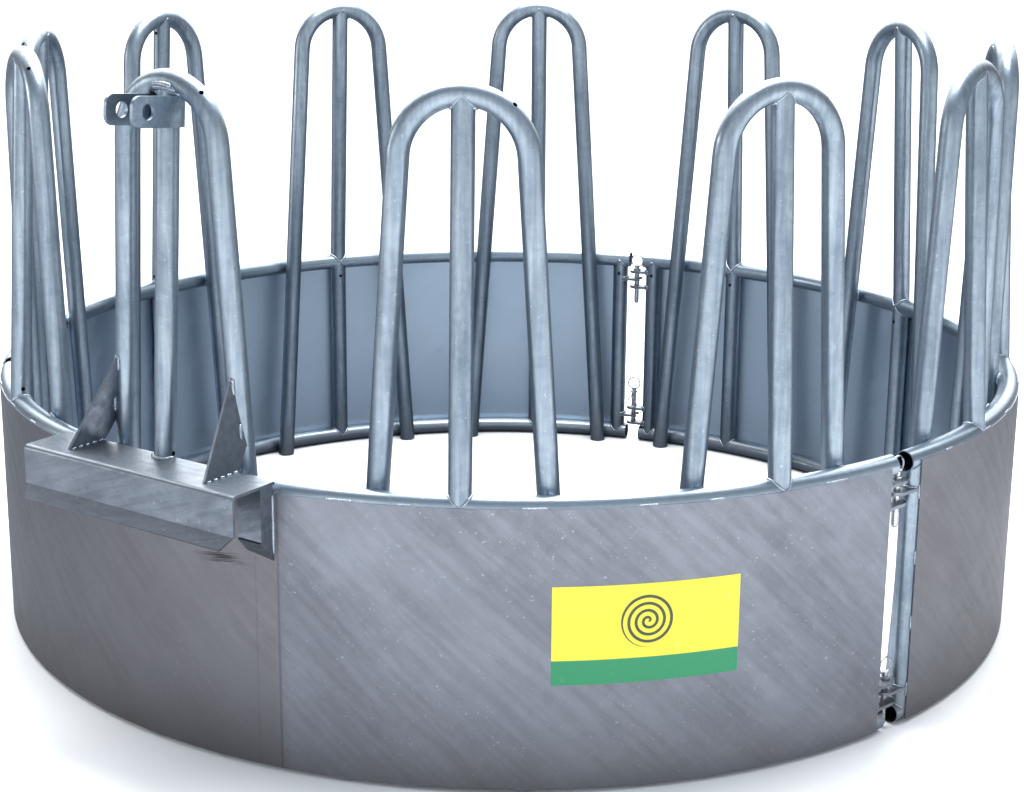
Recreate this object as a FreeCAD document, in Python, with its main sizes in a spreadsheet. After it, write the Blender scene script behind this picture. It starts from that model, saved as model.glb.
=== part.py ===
import FreeCAD, Part
import Sketcher
import os

# Round bale feeder: three hollow-tube panels pinned into a ring, with twelve feed hoops
# and a hitch for a tractor linkage on one hoop.
#
# Frame: millimetres. +Z is up and the floor is z = 0. The hitch points along -Y.
# An azimuth is measured about the ring's own axis from -Y towards +X.
# The ring axis stands ring_offset from the origin, which puts the origin under the
# middle of the whole object.

doc = FreeCAD.newDocument("round_bale_feeder")
dims = doc.addObject("Spreadsheet::Sheet", "dims")

DRIVING = [
    ("skirt_radius", 1035.0, "outside of the skirt sheet"),
    ("sheet_gauge", 2.0, "thickness of the skirt sheet"),
    ("skirt_bottom", 8.0, "height of the sheet's lower edge"),
    ("skirt_top", 487.0, "height of the sheet's upper edge"),
    ("tube_radius", 19.0, "outside radius of every frame tube"),
    ("tube_wall", 2.0, "wall of every frame tube"),
    ("hair_gap", 0.1, "space between welded parts that meet along a line"),
    ("bottom_rail_height", 19.0, "centre line of the bottom ring tube"),
    ("top_rail_height", 484.0, "centre line of the top ring tube"),
    ("cope_trim", 6.0, "how far a coped tube stops short of the other tube's centre"),
    ("segment_angle", 120.0, "arc of one panel"),
    ("rail_gap", 36.0, "space between ring tube ends at a seam"),
    ("end_post_gap", 50.0, "space between end posts at a seam"),
    ("sheet_gap", 80.0, "space between sheet ends at a seam"),
    ("hoop_pitch", 30.0, "angle from hoop to hoop"),
    ("hoop_top", 1145.0, "height of a hoop's crown"),
    ("hoop_foot", 1.5, "height of the leg's sawn end at its middle"),
    ("hoop_bend_radius", 101.6, "centre line radius of the crown bend"),
    ("hoop_splay", 3.76, "slope of each leg in the hoop's plane, degrees"),
    ("vent_radius", 4.0, "drain and vent holes"),
    ("vent_turn", 42.0, "vent's place on the bend, degrees from the crown"),
    ("vent_tilt", 35.0, "vent's turn inwards off the outside of the bend, degrees"),
    ("vent_start", 5.0, "where a bend's vent starts, out from the tube's centre line"),
    ("upright_vent_drop", 36.0, "upright's vent under the top ring tube's centre"),
    ("post_vent_low", 31.0, "post's lower vent above the top ring tube's centre"),
    ("post_vent_high", 34.0, "post's upper vent under the crown's centre"),
    ("lug_thickness", 6.0, "hinge lug plate"),
    ("lug_pitch", 20.0, "height from lug to lug in a stack"),
    ("lug_half_width", 18.0, "half the lug's width, and its end radius"),
    ("lug_hole_radius", 6.5, "hole for the hinge pin"),
    ("upper_stack_top", 457.0, "top of the upper stack of lugs"),
    ("lower_stack_top", 90.0, "top of the lower stack of lugs"),
    ("mouth_angle", 30.0, "half angle of the latch tongue's open mouth"),
    ("pin_radius", 6.0, "hinge pin shank"),
    ("pin_below", 88.0, "pin shank below its head"),
    ("collar_radius", 9.0, "collar that the hinge pin hangs by"),
    ("collar_height", 5.0, "height of the collar"),
    ("neck_radius", 5.5, "hinge pin above its collar"),
    ("neck_top", 13.5, "top of the neck above the collar's seat"),
    ("pin_lift", 38.0, "how far the lower back pin stands up"),
    ("ring_wire_radius", 1.8, "wire of the pull ring"),
    ("ring_radius", 15.5, "centre line radius of the pull ring"),
    ("ring_hole_radius", 2.8, "hole in the pin's neck for the pull ring"),
    ("ring_hole_level", 9.2, "height of that hole above the collar's seat"),
    ("ring_sag", 0.5, "how far the ring's lowest point lies under the hole's axis"),
    ("rail_half_length", 237.0, "half the length of the hook rail"),
    ("rail_plate", 5.0, "thickness of the hook rail and gussets"),
    ("rail_rear", 1009.0, "hook rail's rear edge from the ring axis"),
    ("rail_front", 1108.0, "hook rail's front face from the ring axis"),
    ("rail_bend_radius", 9.0, "outside radius of the hook rail's fold"),
    ("rail_drop", 67.0, "height of the hook rail's front"),
    ("lip_reach", 18.0, "how far the hook rail's lip flares out and down"),
    ("lip_corner", 35.0, "slope of the lip's cut corners, degrees from upright"),
    ("lip_corner_inset", 2.0, "start of the lip's cut corner from the rail's end"),
    ("lip_tool", 90.0, "size of the blocks that cut the lip's corners"),
    ("guide_face", 1038.0, "bearing face of the rail guides from the ring axis"),
    ("guide_plate", 4.0, "thickness of the rail guides"),
    ("guide_length", 48.0, "length of each rail guide"),
    ("guide_end", 232.0, "outer side of each rail guide"),
    ("guide_drop", 97.0, "straight height of each rail guide"),
    ("guide_toe", 35.0, "height of the guide's sloping toe"),
    ("toe_run", 30.0, "how far the guide's toe slopes back"),
    ("guide_depth", 60.0, "depth of the guide's side plate before it meets the skirt"),
    ("gusset_foot", 154.0, "gusset's foot from the middle of the hitch"),
    ("gusset_tilt", 10.0, "lean of each gusset towards its leg, degrees"),
    ("gusset_front", 1084.0, "gusset's front corner from the ring axis"),
    ("gusset_back", 1002.0, "gusset's rear corner from the ring axis"),
    ("gusset_heel", 34.0, "height where the gusset meets its leg"),
    ("gusset_height", 164.0, "height of each gusset"),
    ("ear_gap", 52.0, "space between the top link ears"),
    ("ear_plate", 6.0, "thickness of the top link bracket"),
    ("ear_height", 50.0, "height of the top link bracket"),
    ("ear_corner", 17.0, "rounding of the ear's corners"),
    ("ear_end", 1086.0, "outer end of the ears from the ring axis"),
    ("ear_level", 1078.0, "height of the bracket's middle at the post"),
    ("ear_tilt", 5.0, "how far the ears point up, degrees"),
    ("link_hole_radius", 12.9, "hole for a 25.4 mm top link pin"),
    ("link_hole_inset", 34.0, "hole centre from the ears' outer end"),
]

DERIVED = [
    ("bore_radius", "tube_radius - tube_wall"),
    ("rail_radius", "skirt_radius - sheet_gauge - tube_radius - hair_gap"),
    ("rail_start", "asin(rail_gap / 2 / rail_radius) / 1deg"),
    ("post_start", "asin((end_post_gap / 2 + tube_radius) / rail_radius) / 1deg"),
    ("sheet_start", "asin(sheet_gap / 2 / skirt_radius) / 1deg"),
    ("crown_height", "hoop_top - tube_radius"),
    ("bend_height", "crown_height - hoop_bend_radius"),
    ("leg_length", "(bend_height + hoop_bend_radius * sin(hoop_splay * 1deg) - hoop_foot)"
                   " / cos(hoop_splay * 1deg)"),
    ("spread_at_floor", "hoop_bend_radius / cos(hoop_splay * 1deg)"
                        " + bend_height * tan(hoop_splay * 1deg)"),
    ("leg_circle", "rail_radius - 2 * tube_radius - hair_gap"),
    ("low_spread", "spread_at_floor - bottom_rail_height * tan(hoop_splay * 1deg)"),
    ("high_spread", "spread_at_floor - top_rail_height * tan(hoop_splay * 1deg)"),
    ("hoop_low", "sqrt(leg_circle ^ 2 - low_spread ^ 2)"),
    ("hoop_high", "sqrt(leg_circle ^ 2 - high_spread ^ 2)"),
    ("hoop_slope", "(hoop_high - hoop_low) / (top_rail_height - bottom_rail_height)"),
    ("hoop_lean", "atan(hoop_slope) / 1deg"),
    ("hoop_base", "hoop_low - hoop_slope * bottom_rail_height"),
    ("crown_reach", "hoop_base + crown_height * sin(hoop_lean * 1deg)"),
    ("crown_level", "crown_height * cos(hoop_lean * 1deg)"),
    ("post_lean", "atan((rail_radius - crown_reach) / (crown_level - top_rail_height)) / 1deg"),
    ("post_length", "(crown_level - top_rail_height) / cos(post_lean * 1deg)"),
    ("plate_level", "top_rail_height + tube_radius + hair_gap"),
    ("toe_angle", "atan(toe_run / guide_toe) / 1deg"),
    ("ring_offset", "(rail_front + lip_reach - skirt_radius) / 2"),
]

row = 0
for alias, value, note in DRIVING:
    row += 1
    dims.set(f"A{row}", note)
    dims.set(f"B{row}", str(value))
    dims.setAlias(f"B{row}", alias)
for alias, formula in DERIVED:
    row += 1
    dims.set(f"A{row}", "worked out")
    dims.set(f"B{row}", "=" + formula)
    dims.setAlias(f"B{row}", alias)
doc.recompute()

# Panels by letter: azimuth of the seam that each one starts from, and of its four hoops.
SEAM_START = {"a": -45, "b": 75, "c": 195}
HOOP_AZIMUTHS = {"a": (-30, 0, 30, 60), "b": (90, 120, 150, 180), "c": (210, 240, 270, 300)}
HITCH_AZIMUTH = 0
HOOPS_PER_PANEL = 4


ALIASES = [line[0] for line in DRIVING + DERIVED]


def named(text):
    """Turn bare sheet names in a formula into references to the sheet."""
    for alias in sorted(ALIASES, key=len, reverse=True):
        text = text.replace("{" + alias + "}", "dims." + alias)
    return text


def primitive(kind, name, sizes, at=None, turn=None):
    """A Part primitive whose sizes and place follow the sheet."""
    thing = doc.addObject("Part::" + kind, name)
    for prop, text in sizes.items():
        thing.setExpression(prop, named(text))
    if at or turn:
        place(thing, at, turn)
    return thing


def place(thing, at=None, turn=None):
    """Bind a placement: at is three formulas, turn a list of (axis, degrees) from the left."""
    x, y, z = at or ("0", "0", "0")
    parts = [f"rotation(vector({ax}; {ay}; {az}); {angle})" for (ax, ay, az), angle in turn or []]
    rotation = " * ".join(parts) or "rotation(vector(0; 0; 1); 0)"
    thing.setExpression("Placement", named(f"placement(vector({x}; {y}; {z}); {rotation})"))


def cut(name, base, tool):
    thing = doc.addObject("Part::Cut", name)
    thing.Base = base
    thing.Tool = tool
    return thing


def fuse(name, shapes):
    thing = doc.addObject("Part::MultiFuse", name)
    thing.Shapes = shapes
    return thing


def group(name, shapes):
    thing = doc.addObject("Part::Compound", name)
    thing.Links = shapes
    return thing


def tube(name, height, at=None, turn=None):
    """A straight hollow frame tube."""
    outer = primitive("Cylinder", name + "_outer", {"Radius": "{tube_radius}", "Height": height})
    inner = primitive("Cylinder", name + "_bore", {"Radius": "{bore_radius}", "Height": height})
    thing = cut(name, outer, inner)
    place(thing, at, turn)
    return thing


def bent_tube(name, radius, angle):
    """A hollow frame tube bent to part of a circle, flat in XY, starting on +X."""
    outer = primitive("Torus", name + "_outer",
                      {"Radius1": radius, "Radius2": "{tube_radius}", "Angle3": angle})
    inner = primitive("Torus", name + "_bore",
                      {"Radius1": radius, "Radius2": "{bore_radius}", "Angle3": angle})
    return cut(name, outer, inner)


X_AXIS = (1, 0, 0)
Y_AXIS = (0, 1, 0)
Z_AXIS = (0, 0, 1)
nodes = []


def node(thing, label):
    thing.Label = label
    nodes.append(thing)
    return thing


def panel_place(thing, panel, extra="0"):
    """Turn a shape made from the seam on +X to its panel's place on the ring."""
    place(thing, ("0", "{ring_offset}", "0"), [(Z_AXIS, f"{SEAM_START[panel] - 90} + {extra}")])


def ring_place(thing, azimuth):
    """Turn a shape made on the -Y side of the ring to its azimuth."""
    place(thing, ("0", "{ring_offset}", "0"), [(Z_AXIS, str(azimuth))])


# --- skirt sheets and ring tubes, one of each to a panel ---------------------------------
for panel in SEAM_START:
    span = "{segment_angle} - 2 * {sheet_start}"
    height = "{skirt_top} - {skirt_bottom}"
    outside = primitive("Cylinder", panel + "_sheet_outside",
                        {"Radius": "{skirt_radius}", "Height": height, "Angle": span})
    inside = primitive("Cylinder", panel + "_sheet_inside",
                       {"Radius": "{skirt_radius} - {sheet_gauge}", "Height": height, "Angle": span})
    sheet = cut(panel + "_sheet", outside, inside)
    place(sheet, ("0", "{ring_offset}", "{skirt_bottom}"),
          [(Z_AXIS, f"{SEAM_START[panel] - 90} + {{sheet_start}}")])
    node(sheet, panel + "_skirt_sheet")
    for rail in ("top", "bottom"):
        ring_tube = bent_tube(f"{panel}_{rail}_tube", "{rail_radius}",
                              "{segment_angle} - 2 * {rail_start}")
        place(ring_tube, ("0", "{ring_offset}", "{" + rail + "_rail_height}"),
              [(Z_AXIS, f"{SEAM_START[panel] - 90} + {{rail_start}}")])
        node(ring_tube, f"{panel}_{rail}_rail")

# Whole ring tubes, used only to shape the ends of what meets them.
whole_rails = fuse("whole_rails", [
    primitive("Torus", "whole_top_rail", {"Radius1": "{rail_radius}", "Radius2": "{tube_radius}"},
              ("0", "0", "{top_rail_height}")),
    primitive("Torus", "whole_bottom_rail",
              {"Radius1": "{rail_radius}", "Radius2": "{tube_radius}"},
              ("0", "0", "{bottom_rail_height}")),
])

# --- upright tubes between the ring tubes ------------------------------------------------
UPRIGHT_HEIGHT = "{top_rail_height} - {bottom_rail_height} - 2 * {cope_trim}"
UPRIGHT_FOOT = "{bottom_rail_height} + {cope_trim}"
plain_upright = tube("plain_upright", UPRIGHT_HEIGHT, ("{rail_radius}", "0", UPRIGHT_FOOT))
upright_vent = primitive("Cylinder", "upright_vent",
                         {"Radius": "{vent_radius}", "Height": "2 * {tube_radius}"},
                         ("{rail_radius}", "0", "{top_rail_height} - {upright_vent_drop}"),
                         [(Y_AXIS, "-90")])
upright_tool = fuse("upright_tool", [whole_rails, upright_vent])


def upright(name, angle):
    """One coped upright at an angle from its panel's first seam."""
    thing = cut(name, plain_upright, upright_tool)
    place(thing, None, [(Z_AXIS, angle)])
    return thing


end_uprights = [upright("first_end_upright", "{post_start}"),
                upright("last_end_upright", "{segment_angle} - {post_start}")]
rib_uprights = [upright(f"rib_upright_{count}", f"(0.5 + {count}) * {{hoop_pitch}}")
                for count in range(HOOPS_PER_PANEL)]
for panel in SEAM_START:
    ends = node(group(panel + "_ends", end_uprights), panel + "_end_posts")
    panel_place(ends, panel)
    ribs = node(group(panel + "_ribs", rib_uprights), panel + "_rib_posts")
    panel_place(ribs, panel)

# --- hoops -------------------------------------------------------------------------------
leg_x = "{hoop_bend_radius} * cos({hoop_splay}) + {leg_length} * sin({hoop_splay})"
legs = [tube("leg_right", "{leg_length}", (leg_x, "0", "{hoop_foot}"),
             [(Y_AXIS, "-{hoop_splay}")]),
        tube("leg_left", "{leg_length}", (f"-({leg_x})", "0", "{hoop_foot}"),
             [(Y_AXIS, "{hoop_splay}")])]
crown = bent_tube("crown", "{hoop_bend_radius}", "180 - 2 * {hoop_splay}")
place(crown, ("0", "0", "{bend_height}"), [(X_AXIS, "90"), (Z_AXIS, "{hoop_splay}")])
whole_hoop = fuse("whole_hoop", [legs[0], crown, legs[1]])
vent_reach = "({hoop_bend_radius} + {vent_start}) * "
hoop_vent = primitive("Cylinder", "hoop_vent",
                      {"Radius": "{vent_radius}", "Height": "2 * {tube_radius}"},
                      (vent_reach + "sin({vent_turn})", "0",
                       "{bend_height} + " + vent_reach + "cos({vent_turn})"),
                      [(Y_AXIS, "{vent_turn}"), (X_AXIS, "{vent_tilt}")])
for panel, azimuths in HOOP_AZIMUTHS.items():
    for count, azimuth in enumerate(azimuths, start=1):
        hoop = cut(f"{panel}_hoop_shape_{count}", whole_hoop, hoop_vent)
        place(hoop, (f"{{hoop_base}} * sin({azimuth})",
                     f"{{ring_offset}} - {{hoop_base}} * cos({azimuth})", "0"),
              [(Z_AXIS, str(azimuth)), (X_AXIS, "{hoop_lean}")])
        node(hoop, f"{panel}_hoop_{count}")

# --- centre posts from the top ring tube to each crown, made on the -Y side ----------------
whole_crown = primitive("Torus", "whole_crown",
                        {"Radius1": "{hoop_bend_radius}", "Radius2": "{tube_radius}",
                         "Angle3": "180"},
                        ("0", "-{hoop_base} - {bend_height} * sin({hoop_lean})",
                         "{bend_height} * cos({hoop_lean})"),
                        [(X_AXIS, "90 + {hoop_lean}")])
straight_post = tube("straight_post", "{post_length} - 2 * {cope_trim}",
                     ("0", "-{rail_radius} + {cope_trim} * sin({post_lean})",
                      "{top_rail_height} + {cope_trim} * cos({post_lean})"),
                     [(X_AXIS, "-{post_lean}")])
post_vents = [
    primitive("Cylinder", f"post_vent_{name}",
              {"Radius": "{vent_radius}", "Height": "2 * {tube_radius}"},
              ("0", f"-{{rail_radius}} + ({along}) * sin({{post_lean}})",
               f"{{top_rail_height}} + ({along}) * cos({{post_lean}})"), [(Y_AXIS, "90")])
    for name, along in (("low", "{post_vent_low}"), ("high", "{post_length} - {post_vent_high}"))]
post_tool = fuse("post_tool", [whole_rails, whole_crown] + post_vents)
hitch_notch = primitive("Box", "hitch_notch",
                        {"Length": "4 * {tube_radius}", "Width": "6 * {tube_radius}",
                         "Height": "{rail_plate} + {hair_gap}"},
                        ("-2 * {tube_radius}", "-{rail_rear} - 6 * {tube_radius}", "{plate_level}"))
hitch_tool = fuse("hitch_tool", [post_tool, hitch_notch])
for panel, azimuths in HOOP_AZIMUTHS.items():
    posts = []
    for count, azimuth in enumerate(azimuths, start=1):
        tool = hitch_tool if azimuth == HITCH_AZIMUTH else post_tool
        post = cut(f"{panel}_post_{count}", straight_post, tool)
        place(post, None, [(Z_AXIS, str(azimuth - SEAM_START[panel]))])
        posts.append(post)
    centre = node(group(panel + "_posts", posts), panel + "_centre_posts")
    place(centre, ("0", "{ring_offset}", "0"), [(Z_AXIS, str(SEAM_START[panel]))])

# --- hinge lugs: two on the last end of a panel, one between them on the next panel's ------
LUG_ARM = "{end_post_gap} / 2 + {tube_radius}"


def lug(name, side, top, open_mouth=False):
    """One lug on the +X seam. side +1 runs to the panel after the seam, -1 to the one before."""
    foot = top + " - {lug_thickness}"
    arm_y = "0" if side > 0 else f"-({LUG_ARM})"
    size = {"Length": "2 * {lug_half_width}", "Width": LUG_ARM, "Height": "{lug_thickness}"}
    arm = primitive("Box", name + "_arm", size,
                    ("{rail_radius} - {lug_half_width}", arm_y, foot))
    end = primitive("Cylinder", name + "_end",
                    {"Radius": "{lug_half_width}", "Height": "{lug_thickness}"},
                    ("{rail_radius}", "0", foot))
    hole = primitive("Cylinder", name + "_hole",
                     {"Radius": "{lug_hole_radius}", "Height": "3 * {lug_thickness}"},
                     ("{rail_radius}", "0", foot + " - {lug_thickness}"))
    post = primitive("Cylinder", name + "_post",
                     {"Radius": "{tube_radius}", "Height": "3 * {lug_thickness}"},
                     (f"{{rail_radius}} * cos({{post_start}})",
                      f"{side} * {{rail_radius}} * sin({{post_start}})",
                      foot + " - {lug_thickness}"))
    tools = [hole, post]
    if open_mouth:
        for turn in ("-{mouth_angle}", "0", "{mouth_angle}"):
            tools.append(primitive("Box", f"{name}_mouth_{len(tools)}",
                                   {"Length": "2 * {lug_half_width}",
                                    "Width": "2 * {lug_hole_radius}",
                                    "Height": "3 * {lug_thickness}"},
                                   (f"{{rail_radius}} - {{lug_hole_radius}} * cos({turn})",
                                    f"-{{lug_hole_radius}} * sin({turn})",
                                    foot + " - {lug_thickness}"),
                                   [(Z_AXIS, f"-90 + ({turn})")]))
    return cut(name, fuse(name + "_blank", [arm, end]), fuse(name + "_tools", tools))


stacks = {"upper": "{upper_stack_top}", "lower": "{lower_stack_top}"}
clevis_lugs = []
closed_tongues = []
open_tongues = []
for stack, top in stacks.items():
    for level in (0, 2):
        plate = lug(f"{stack}_clevis_{level}", -1, f"{top} - {level} * {{lug_pitch}}")
        place(plate, None, [(Z_AXIS, "{segment_angle}")])
        clevis_lugs.append(plate)
    closed_tongues.append(lug(f"{stack}_tongue", 1, top + " - {lug_pitch}"))
    open_tongues.append(lug(f"{stack}_open_tongue", 1, top + " - {lug_pitch}", True))
for panel in SEAM_START:
    clevis = node(group(panel + "_clevis", clevis_lugs), panel + "_clevis_lugs")
    panel_place(clevis, panel)
    tongue = node(group(panel + "_tongue", open_tongues if panel == "c" else closed_tongues),
                  panel + "_tongue_lugs")
    panel_place(tongue, panel)

# --- hinge pins and their pull rings, made on the +X seam with the collar's seat at z = 0 ----
shank = primitive("Cylinder", "pin_shank", {"Radius": "{pin_radius}",
                                            "Height": "{pin_below} - {pin_radius}"},
                  ("{rail_radius}", "0", "{pin_radius} - {pin_below}"))
tip = primitive("Sphere", "pin_tip", {"Radius": "{pin_radius}"},
                ("{rail_radius}", "0", "{pin_radius} - {pin_below}"))
collar = primitive("Cylinder", "pin_collar", {"Radius": "{collar_radius}",
                                              "Height": "{collar_height}"},
                   ("{rail_radius}", "0", "0"))
neck = primitive("Cylinder", "pin_neck", {"Radius": "{neck_radius}", "Height": "{neck_top}"},
                 ("{rail_radius}", "0", "0"))
ring_hole = primitive("Cylinder", "ring_hole",
                      {"Radius": "{ring_hole_radius}", "Height": "4 * {collar_radius}"},
                      ("{rail_radius}", "-2 * {collar_radius}", "{ring_hole_level}"),
                      [(X_AXIS, "-90")])
whole_pin = fuse("whole_pin", [shank, tip, collar, neck])
wire_ring = primitive("Torus", "wire_ring",
                      {"Radius1": "{ring_radius}", "Radius2": "{ring_wire_radius}"},
                      ("{rail_radius}", "0", "{ring_hole_level} + {ring_radius} - {ring_sag}"),
                      [(Y_AXIS, "90")])
SEAM_OF_PIN = {"right": "b", "back": "c", "left": "a"}
for seam, panel in SEAM_OF_PIN.items():
    for stack, top in stacks.items():
        level = top + " + {hair_gap}"
        if (seam, stack) == ("back", "lower"):
            level += " + {pin_lift}"
        turn = [(Z_AXIS, str(SEAM_START[panel] - 90))]
        pin = node(cut(f"{seam}_{stack}_pin_shape", whole_pin, ring_hole), f"{seam}_{stack}_pin")
        place(pin, ("0", "{ring_offset}", level), turn)
        ring = node(group(f"{seam}_{stack}_ring_shape", [wire_ring]), f"{seam}_{stack}_pull_ring")
        place(ring, ("0", "{ring_offset}", level), turn)

# --- hook rail: a folded plate open underneath, with a flared lip --------------------------
RAIL_TOP = "{plate_level} + {rail_plate}"
rail_size = "2 * {rail_half_length}"
rail_top = primitive("Box", "rail_top",
                     {"Length": rail_size, "Height": "{rail_plate}",
                      "Width": "{rail_front} - {rail_rear} - {rail_bend_radius}"},
                     ("-{rail_half_length}", "-{rail_front} + {rail_bend_radius}", "{plate_level}"))
rail_face = primitive("Box", "rail_face",
                      {"Length": rail_size, "Width": "{rail_plate}",
                       "Height": "{rail_drop} - {rail_bend_radius}"},
                      ("-{rail_half_length}", "-{rail_front}", RAIL_TOP + " - {rail_drop}"))
fold_place = ("-{rail_half_length}", "-{rail_front} + {rail_bend_radius}",
              RAIL_TOP + " - {rail_bend_radius}")
fold_outer = primitive("Cylinder", "fold_outer", {"Radius": "{rail_bend_radius}",
                                                  "Height": rail_size, "Angle": "90"})
fold_inner = primitive("Cylinder", "fold_inner", {"Radius": "{rail_bend_radius} - {rail_plate}",
                                                  "Height": rail_size, "Angle": "90"})
rail_fold = cut("rail_fold", fold_outer, fold_inner)
place(rail_fold, fold_place, [(Y_AXIS, "90"), (Z_AXIS, "180")])
lip = primitive("Box", "rail_lip",
                {"Length": rail_size, "Width": "{rail_plate}",
                 "Height": "{lip_reach} * sqrt(2) + {rail_plate} / 2"},
                ("-{rail_half_length}",
                 "-{rail_front} - {lip_reach}",
                 RAIL_TOP + " - {rail_drop} - {lip_reach}"), [(X_AXIS, "-45")])
lip_trims = [primitive("Box", f"lip_trim_{side}",
                       {"Length": "{lip_tool}", "Width": "{lip_tool}", "Height": "{lip_tool}"},
                       (x, "-{rail_front} - {lip_tool} / 2", RAIL_TOP + " - {rail_drop}"),
                       [(Y_AXIS, turn)])
             for side, x, turn in (
                 ("right", "{rail_half_length} - {lip_corner_inset}", "90 + {lip_corner}"),
                 ("left", "-{rail_half_length} + {lip_corner_inset}", "180 - {lip_corner}"))]
rail_blank = fuse("rail_blank", [rail_top, rail_fold, rail_face, lip])
hook_rail = node(cut("hook_rail_shape", rail_blank, fuse("lip_trims", lip_trims)), "hook_rail")
ring_place(hook_rail, HITCH_AZIMUTH)

# --- rail guides: folded plates that hold the carrier's bar off the round skirt ------------
skirt_body = primitive("Cylinder", "skirt_body",
                       {"Radius": "{skirt_radius} + {hair_gap}", "Height": "{plate_level}"},
                       ("0", "0", "{skirt_bottom}"))
above_guides = primitive("Box", "above_guides",
                         {"Length": rail_size, "Width": "{rail_front}", "Height": "{guide_drop}"},
                         ("-{rail_half_length}", "-{rail_front}", "{plate_level} - {hair_gap}"))
guide_tool = fuse("guide_tool", [skirt_body, above_guides])
TOE_FOOT = "{plate_level} - {guide_drop} - {guide_toe}"
for side, sign in (("right", 1), ("left", -1)):
    inner_x = "{guide_end} - {guide_length}" if sign > 0 else "-{guide_end}"
    side_x = "{guide_end} - {guide_plate}" if sign > 0 else "-{guide_end}"
    face = primitive("Box", f"guide_face_{side}",
                     {"Length": "{guide_length}", "Width": "{guide_plate}",
                      "Height": "{guide_drop}"},
                     (inner_x, "-{guide_face}", "{plate_level} - {guide_drop}"))
    toe = primitive("Box", f"guide_toe_{side}",
                    {"Length": "{guide_length}", "Width": "{guide_plate}",
                     "Height": "{guide_toe} / cos({toe_angle}) + {guide_plate}"},
                    (inner_x, "-{guide_face} + {toe_run}", TOE_FOOT),
                    [(X_AXIS, "{toe_angle}")])
    cheek = primitive("Box", f"guide_cheek_{side}",
                      {"Length": "{guide_plate}", "Width": "{guide_depth}",
                       "Height": "{guide_drop} + {guide_toe}"},
                      (side_x, "-{guide_face}", TOE_FOOT))
    cheek_trim = primitive("Box", f"guide_cheek_trim_{side}",
                           {"Length": "4 * {guide_plate}", "Width": "{guide_depth}",
                            "Height": "{guide_drop}"},
                           (side_x + " - {guide_plate}",
                            "-{guide_face} + {toe_run} - {guide_depth} * cos({toe_angle})",
                            TOE_FOOT + " - {guide_depth} * sin({toe_angle})"),
                           [(X_AXIS, "{toe_angle}")])
    blank = fuse(f"guide_blank_{side}", [face, toe, cut(f"guide_side_{side}", cheek, cheek_trim)])
    guide = node(cut(f"guide_shape_{side}", blank, guide_tool), f"rail_guide_{side}")
    ring_place(guide, HITCH_AZIMUTH)

# --- gussets from the hook rail to the hitch hoop's legs ------------------------------------
sketch = doc.addObject("Sketcher::SketchObject", "gusset_outline")
outline = [("{gusset_back}", "0"), ("{gusset_front}", "0"),
           ("{hoop_base} + {bore_radius}", "{gusset_height}"),
           ("{hoop_base}", "{gusset_height}"), ("{hoop_base}", "{gusset_heel}"),
           ("{hoop_base} + {bore_radius}", "{gusset_heel}")]
guess = [(1002, 0), (1084, 0), (978, 150), (961, 150), (961, 34), (978, 34)]
for place_now, place_next in zip(guess, guess[1:] + guess[:1]):
    sketch.addGeometry(Part.LineSegment(FreeCAD.Vector(*place_now, 0),
                                        FreeCAD.Vector(*place_next, 0)))
for edge in range(len(guess)):
    sketch.addConstraint(Sketcher.Constraint("Coincident", edge, 2, (edge + 1) % len(guess), 1))
for edge, (reach, height) in enumerate(outline):
    for kind, formula, start in (("DistanceX", reach, guess[edge][0]),
                                 ("DistanceY", height, guess[edge][1])):
        number = sketch.addConstraint(Sketcher.Constraint(kind, -1, 1, edge, 1, float(start)))
        sketch.setExpression(f"Constraints[{number}]", named(formula))
gusset_plate = doc.addObject("Part::Extrusion", "gusset_plate")
gusset_plate.Base = sketch
gusset_plate.DirMode = "Normal"
gusset_plate.Solid = True
gusset_plate.setExpression("LengthFwd", named("{rail_plate}"))
leg_tool = {}
for side, sign in (("right", 1), ("left", -1)):
    leg_tool[side] = primitive("Cylinder", f"leg_tool_{side}",
                               {"Radius": "{tube_radius} + {hair_gap}",
                                "Height": "{leg_length}"},
                               (f"{sign} * ({leg_x})", "-{hoop_base}", "{hoop_foot}"),
                               [(X_AXIS, "{hoop_lean}"), (Y_AXIS, f"{-sign} * {{hoop_splay}}")])
    blank = doc.addObject("Part::Compound", f"gusset_blank_{side}")
    blank.Links = [gusset_plate]
    foot_level = RAIL_TOP + (" + {rail_plate} * sin({gusset_tilt})" if sign > 0 else "")
    place(blank, (f"{sign} * {{gusset_foot}} + {{rail_plate}} / 2", "0", foot_level),
          [(Y_AXIS, f"{-sign} * {{gusset_tilt}}"), (Z_AXIS, "-90"), (X_AXIS, "90")])
    gusset = node(cut(f"gusset_shape_{side}", blank, leg_tool[side]), f"gusset_{side}")
    ring_place(gusset, HITCH_AZIMUTH)

# --- top link bracket: a strip bent round the hitch post into two ears ----------------------
POST_AT_EAR = "({rail_radius} - ({ear_level} - {top_rail_height}) * tan({post_lean}))"
BEND_CENTRE = "({ear_gap} / 2 - {tube_radius})"
EAR_REACH = f"({{ear_end}} - {POST_AT_EAR})"


def strip_core(name, half_width, height):
    """The plan of a U: a half round end behind the post and straight sides out to the ears."""
    back = primitive("Cylinder", name + "_back", {"Radius": half_width, "Height": height},
                     ("0", "-" + BEND_CENTRE, f"-({height}) / 2"))
    sides = primitive("Box", name + "_sides",
                      {"Length": f"2 * ({half_width})", "Height": height,
                       "Width": f"{EAR_REACH} - {BEND_CENTRE}"},
                      (f"-({half_width})", "-" + EAR_REACH, f"-({height}) / 2"))
    return fuse(name, [back, sides])


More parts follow.
